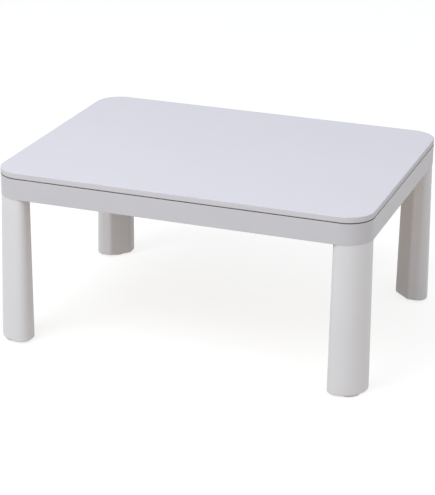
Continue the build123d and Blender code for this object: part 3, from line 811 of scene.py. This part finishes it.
def knob_plastic():
    """Black moulded plastic with a spark-eroded grain."""
    finish = Finish("knob_moulding", (0.030, 0.030, 0.032), 0.42)
    finish.wire("Base Color", finish.clouded((0.032, 0.032, 0.034), 200.0, 0.15))
    finish.wire("Roughness", 0.38 + finish.noise(700.0, 2.0) * 0.12)
    finish.relief(finish.noise(2200.0, 1.0), 0.00003)
    return finish


def lobed_knob():
    """Rows of (radius, level, share of the scallops), cut in six places by a circle of radius 5 mm.

    At an angle t from a scallop's middle the circle's near side is at d cos t - sqrt(25 - (d sin t)^2)
    from the axis, with its centre at d = 17.5 mm. The cut's edges are eased over three points.
    """
    low, high, bore, nut_pocket = knob_low, 0.3476, stud_hole, 0.0076
    rows = np.array([
        (nut_pocket, low + 0.0080, 0), (nut_pocket, low + 0.0002, 0), (nut_pocket + 0.0002, low, 0),
        (0.0142, low, 1), (0.0148, low + 0.0004, 1), (0.0150, low + 0.0012, 1),
        (0.0150, high - 0.0035, 1), (0.0147, high - 0.0020, 1), (0.0139, high - 0.0009, 1),
        (0.0128, high - 0.0004, 1), (0.0112, high - 0.0005, 0.7), (0.0098, high - 0.0014, 0.2),
        (0.0086, high - 0.0015, 0), (0.0080, high - 0.0006, 0), (0.0074, high, 0),
        (bore + 0.0003, high, 0), (bore, high - 0.0003, 0), (bore, low + 0.0080, 0),
    ])
    radius, centre, cutter, count = 0.015, 0.0175, 0.005, 144
    angle = np.arange(count) * 2 * np.pi / count
    near = (angle + np.pi / 6) % (np.pi / 3) - np.pi / 6
    side = centre * np.cos(near) - np.sqrt(np.maximum(cutter ** 2 - (centre * np.sin(near)) ** 2, 0))
    cut = radius - np.minimum(radius, side)
    cut = (np.roll(cut, 1) + cut + np.roll(cut, -1)) / 3
    radii = rows[:, :1] - rows[:, 2:] * cut
    return np.dstack([radii * np.cos(angle), radii * np.sin(angle), np.repeat(rows[:, 1:2], count, 1)])


def body_of_washer(name):
    """The body that the record gives the washer."""
    bodies = frame["record"]["behaviour"]["bodies"]
    return next(body for body, nodes in bodies.items() if f"knob_washer_{name}" in nodes)


def hand_knobs():
    washer_radius, washer_ease, finish = 0.010, 0.0003, knob_plastic()
    knob = lobed_knob() + (stud_inset, stud_inset, 0)
    washer = turned(washer_low, knob_low, washer_radius, washer_ease, bore=stud_hole)
    washer = washer + (stud_inset, stud_inset, 0)
    for name in corner_names:
        body = f"knob_{name}"
        surface_piece(f"knob_lobes_{name}", [at_corner(knob, name)], finish, body,
                      [f"knob_grip_{name}"], looped=True)
        surface_piece(f"washer_ring_{name}", [at_corner(washer, name)], zinc, body_of_washer(name),
                      [f"knob_washer_{name}"], looped=True)
        recoat(zinc, f"knob_nut_{name}")


hand_knobs()


# ------------------------------------------------------------------ heater case
# A pan pressed from thin sheet and painted with dark heat-proof paint, with air slots in its top and
# four lugs that lie on the rails. Its mouth faces down and holds the guard.
def heat_paint(name, colour):
    """Baked paint with a fine orange peel, a little lighter and darker in soft clouds."""
    finish = Finish(name, colour, 0.48)
    peel = finish.noise(420.0, 2.0)
    finish.wire("Base Color", finish.clouded(colour, 70.0, 0.10))
    finish.wire("Roughness", 0.42 + peel * 0.14)
    finish.relief(peel, 0.00005)
    return finish


case_paint = heat_paint("case_paint", (0.055, 0.055, 0.060))
grille_paint = heat_paint("grille_paint", (0.075, 0.075, 0.078))
eased_copy("heater_pan", "heater_housing", case_paint, width=0.0003)
eased_copy("heater_grille", "heater_guard", grille_paint, width=0.0005)


# ------------------------------------------------------------------ reflector and tube brackets
# The reflector is one polished aluminium sheet with a round trough over each tube. Two plates of
# bright sheet steel stand across its ends and carry the tubes' ceramic caps.
def polished_aluminium():
    """Polished sheet: lines along x, a slight waviness and a haze that dulls it in patches."""
    finish = Finish("polished_aluminium", (0.88, 0.88, 0.89), 0.12, {"Metallic": 1.0})
    lines = finish.noise(1100.0, 2.0, (0.03, 1.0, 1.0))
    haze = finish.noise(26.0, 3.0).ramp(0.45, 0.75)
    finish.wire("Base Color", finish.between((0.90, 0.90, 0.91), (0.82, 0.80, 0.77), haze))
    finish.wire("Roughness", 0.07 + lines * 0.10 + haze * 0.08)
    finish.relief(finish.noise(35.0, 1.0), 0.00012)
    return finish


def sheet_steel():
    """Cold rolled sheet: bright metal with fine rolling lines."""
    colour = (0.62, 0.62, 0.63)
    finish = Finish("bright_sheet", colour, 0.26, {"Metallic": 1.0})
    lines = finish.noise(700.0, 2.0, (0.05, 1.0, 1.0))
    finish.wire("Base Color", finish.clouded(colour, 60.0, 0.04))
    finish.wire("Roughness", 0.21 + lines * 0.12)
    finish.relief(lines, 0.00001)
    return finish


bright_sheet = sheet_steel()
recoat(polished_aluminium(), "heater_reflector")
recoat(bright_sheet, "tube_bracket_left", "tube_bracket_right", "coil_straps")


def glazed_ceramic():
    """Glazed ceramic: ivory with a few brown specks, and a soft orange peel in the glaze."""
    finish = Finish("glazed_ceramic", (0.84, 0.82, 0.76), 0.24)
    specks = finish.noise(1300.0, 2.0).ramp(0.68, 0.74)
    finish.wire("Base Color", finish.between((0.85, 0.83, 0.77), (0.62, 0.56, 0.47), specks))
    finish.relief(finish.noise(260.0, 2.0), 0.00004)
    return finish


ceramic = glazed_ceramic()
eased_copy("tube_end_caps", "ceramic_caps", ceramic, width=0.0004)


# ------------------------------------------------------------------ quartz tubes and heating coils
# Two clear quartz tubes lie along the troughs. In each, a coil of oxidised heating wire is stretched
# between two straight pins that leave through the ceramic caps.
tube_level, tube_spread = 0.3305, 0.050


def along_x(points, y, z):
    """From a shape raised along its own z axis to one that lies along x at (y, z)."""
    return points[..., [2, 0, 1]] + (0, y, z)


def quartz():
    """Clear glass, a little cloudy in patches."""
    finish = Finish("quartz_glass", (0.97, 0.96, 0.95), 0.03, {"Transmission Weight": 1.0, "IOR": 1.46})
    finish.wire("Roughness", 0.02 + finish.noise(60.0, 2.0).ramp(0.5, 0.8) * 0.06)
    return finish


def wire_coil(half, radius, wire, pitch):
    """A round wire of radius w on the helix (x, r cos t, r sin t), t = 2 pi x / pitch.

    With the helix's point c, its outward normal n and b = tangent x n, a point is
    c + w (n cos s + b sin s).
    """
    sides, steps = 6, 14
    x = np.linspace(-half, half, int(2 * half / pitch * steps))
    turn = 2 * np.pi * x / pitch
    normal = np.stack([0 * x, np.cos(turn), np.sin(turn)], -1)
    tangent = np.stack([0 * x + pitch / (2 * np.pi), -radius * np.sin(turn), radius * np.cos(turn)], -1)
    tangent /= np.linalg.norm(tangent, axis=-1, keepdims=True)
    binormal = np.cross(tangent, normal)
    centre = np.stack([x, radius * np.cos(turn), radius * np.sin(turn)], -1)
    round_wire = np.arange(sides) * 2 * np.pi / sides
    return (centre[:, None] + wire * (normal[:, None] * np.cos(round_wire)[:, None]
                                      + binormal[:, None] * np.sin(round_wire)[:, None]))


def oxidised_wire():
    """Heating wire: dull brown-grey metal, scaled unevenly."""
    finish = Finish("heating_wire", (0.17, 0.15, 0.14), 0.5, {"Metallic": 0.7})
    finish.wire("Base Color", finish.clouded((0.18, 0.155, 0.14), 240.0, 0.25))
    finish.relief(finish.noise(3000.0, 1.0), 0.00002)
    return finish


def tubes_and_coils():
    """Each tube is a ring drawn out along x; its coil overlaps a short pin at each end."""
    tube_half, tube_radius, tube_bore = 0.09995, 0.006, 0.0048
    coil_half, coil_radius, wire_radius, coil_pitch = 0.090, 0.0031, 0.0004, 0.0030
    pin_start, pin_end, pin_radius, ease = 0.0885, 0.1132, 0.0015, 0.0003
    glass, wire = quartz(), oxidised_wire()
    one_tube = turned(-tube_half, tube_half, tube_radius, ease, bore=tube_bore, count=40)
    one_coil = wire_coil(coil_half, coil_radius, wire_radius, coil_pitch)
    for name, side in (("front", -1), ("back", 1)):
        y = side * tube_spread
        surface_piece(f"quartz_glass_{name}", [along_x(one_tube, y, tube_level)], glass, "frame",
                      [f"quartz_tube_{name}"], looped=True)
        coil = one_coil + (0, y, tube_level)
        pins = [along_x(turned(low, high, pin_radius, ease, count=16), y, tube_level)
                for low, high in ((-pin_end, -pin_start), (pin_start, pin_end))]
        surface_piece(f"wire_coil_{name}", [coil, *pins], wire, "frame",
                      [f"heating_coil_{name}"])


tubes_and_coils()


# ------------------------------------------------------------------ thermostat, fuse and wiring
# Above the reflector, out of sight, lie a terminal block, a phenolic thermostat with a steel disc, a
# thermal fuse in its metal can, and leads in glass-fibre sleeve.
def phenolic(name, colour):
    """Pressed phenolic resin: even and slightly mottled with its filler."""
    finish = Finish(name, colour, 0.36)
    finish.wire("Base Color", finish.clouded(colour, 260.0, 0.12))
    finish.relief(finish.noise(1500.0, 2.0), 0.00002)
    return finish


def thermostat_finish():
    """Brown phenolic below, and the bimetal's steel disc on top, told apart by height."""
    finish = phenolic("thermostat_body", (0.20, 0.12, 0.07))
    disc_low, blur = 0.3353, 0.00005
    disc = finish.level().ramp(disc_low - blur, disc_low + blur)
    finish.wire("Base Color", finish.between(finish.worn["Base Color"], (0.66, 0.66, 0.64), disc))
    finish.wire("Metallic", disc)
    return finish


def fuse_can():
    """A can along x: its radius less a groove d exp(-((e - g) / w)^2) at a distance e from each end.

    Its tips taper to a share of the radius, which grows evenly with e.
    """
    left, right, radius, level = -0.070, -0.054, 0.0025, 0.3313
    groove_at, groove_width, groove_depth, tip_share, taper = 0.0028, 0.0006, 0.0005, 0.62, 0.0030
    x = np.linspace(left, right, 33)
    from_end = np.minimum(x - left, right - x)
    radii = radius - groove_depth * np.exp(-(((from_end - groove_at) / groove_width) ** 2))
    radii *= np.clip(tip_share + from_end / taper, 0, 1)
    return along_x(raised(circle_path(radii, 24), x), 0, level)


def sleeve():
    """Braided glass fibre: two crossed sets of fine ridges, off-white with soft ochre patches."""
    finish = Finish("glass_sleeve", (0.78, 0.75, 0.67), 0.72)
    finish.wire("Base Color", finish.clouded((0.78, 0.75, 0.67), 900.0, 0.10))
    warp, weft = finish.noise(1500.0, 1.0, (1, 0.5, 1)), finish.noise(1500.0, 1.0, (0.5, 1, 1))
    finish.relief(warp.math("MAXIMUM", warp, weft), 0.0002)
    return finish


recoat(thermostat_finish(), "thermostat")
surface_piece("fuse_can", [fuse_can()], bright_sheet, "frame", ["thermal_fuse"])
recoat(sleeve(), "heater_leads")
eased_copy("terminal_strip", "terminal_block", ceramic, width=0.0006)


# ------------------------------------------------------------------ appliance inlet
# A black phenolic inlet is clipped into the case's back wall, its mouth towards the back, and two
# round brass pins stand in it, where the lead's connector plugs in.
def inlet():
    """Two rods with rounded tips along y, in the CAD's own socket."""
    black_phenolic = phenolic("black_phenolic", (0.022, 0.022, 0.023))
    eased_copy("inlet_body", "inlet_socket", black_phenolic, width=0.0005)
    length, radius, tip = 0.0202, 0.002, 0.0008
    left, right, root, level = 0.0705, 0.0835, 0.0938, 0.3425
    pin = turned(0.0, length, radius, tip, count=24)[..., [0, 2, 1]]
    pins = [pin + (x, root, level) for x in (left, right)]
    surface_piece("inlet_pin_rods", pins, turned_brass, "frame", ["inlet_pins"])


inlet()


# ------------------------------------------------------------------ board
# A light board with white satin laminate on its face, a plain beige backing laminate below and an
# extruded matt edge band, rounded less above than below. It lies loose on the frame's rubber discs and
# lifts straight off.
board_low, band_width, sheet_thickness = 0.370, 0.002, 0.0008
laminate_colour = (0.725, 0.72, 0.80)
backing_colour = (0.68, 0.57, 0.44)
band_colour = (0.72, 0.74, 0.815)


def laminate():
    """Satin laminate: even colour with the faintest clouds, wiped gloss and a fine pressed grain."""
    finish = Finish("board_laminate", laminate_colour, 0.36)
    finish.wire("Base Color", finish.clouded(laminate_colour, 7.0, 0.006, 4.0))
    finish.wire("Roughness", 0.31 + finish.noise(11.0, 5.0, (1, 3, 1)) * 0.10)
    finish.relief(finish.noise(700.0, 2.0), 0.00003)
    return finish


def backing():
    """Backing laminate: unprinted beige, matt, with the soft mottle of its paper."""
    finish = Finish("board_backing", backing_colour, 0.58)
    finish.wire("Base Color", finish.clouded(backing_colour, 45.0, 0.035, 5.0))
    finish.wire("Roughness", 0.52 + finish.noise(160.0, 3.0) * 0.12)
    finish.relief(finish.noise(500.0, 3.0), 0.00005)
    return finish


def edge_band():
    """Extruded band: the drawing marks run level along it."""
    finish = Finish("edge_band", band_colour, 0.52, {"Specular IOR Level": 0.22})
    finish.wire("Base Color", finish.clouded(band_colour, 12.0, 0.008))
    finish.wire("Roughness", 0.48 + finish.noise(50.0, 3.0) * 0.08)
    finish.relief(finish.noise(30.0, 3.0, (1, 1, 60)), 0.00003)
    return finish


def fibreboard():
    """The core's raw fibre, light and dark chips mixed."""
    finish = Finish("board_fibre", (0.52, 0.40, 0.28), 0.85)
    chips = finish.noise(900.0, 3.0)
    finish.wire("Base Color", finish.between((0.40, 0.30, 0.20), (0.62, 0.50, 0.36), chips))
    finish.relief(finish.noise(1200.0, 2.0), 0.0002)
    return finish


def board():
    """The band is a ring: from its inner low edge out, up both roundings and in again.

    The two sheets lie inside it by a gap, with their edges drawn in by half a hairline.
    """
    low_edge, top_edge, hairline, gap = 0.0015, 0.0008, 0.00012, 0.00005
    low_inset, low_depth = quarter(low_edge, 7)
    top_inset, top_depth = quarter(top_edge, 7)
    insets = np.concatenate([[band_width, band_width - hairline], low_inset, top_inset[::-1],
                             [band_width - hairline, band_width]])
    levels = np.concatenate([[board_low + hairline, board_low], board_low + low_depth,
                             table_top - top_depth[::-1], [table_top, table_top - hairline]])
    band = raised(rounded_box_path(table_x, table_y, corner_radius, insets, 20), levels)
    surface_piece("edge_band_ring", [band], edge_band(), "tabletop", ["top_edge_band"],
                  looped=True)

    lip = hairline / 2
    insets = band_width + np.array([gap + lip, gap, gap, gap + lip])
    levels = np.array([0, lip, sheet_thickness - lip, sheet_thickness])
    outlines = rounded_box_path(table_x, table_y, corner_radius, insets, 20)
    face = raised(outlines, table_top - sheet_thickness + levels)
    under = raised(outlines, board_low + levels)
    surface_piece("face_laminate", [face], laminate(), "tabletop", ["top_face_sheet"])
    surface_piece("under_laminate", [under], backing(), "tabletop", ["top_under_sheet"])
    recoat(fibreboard(), "top_core")


board()
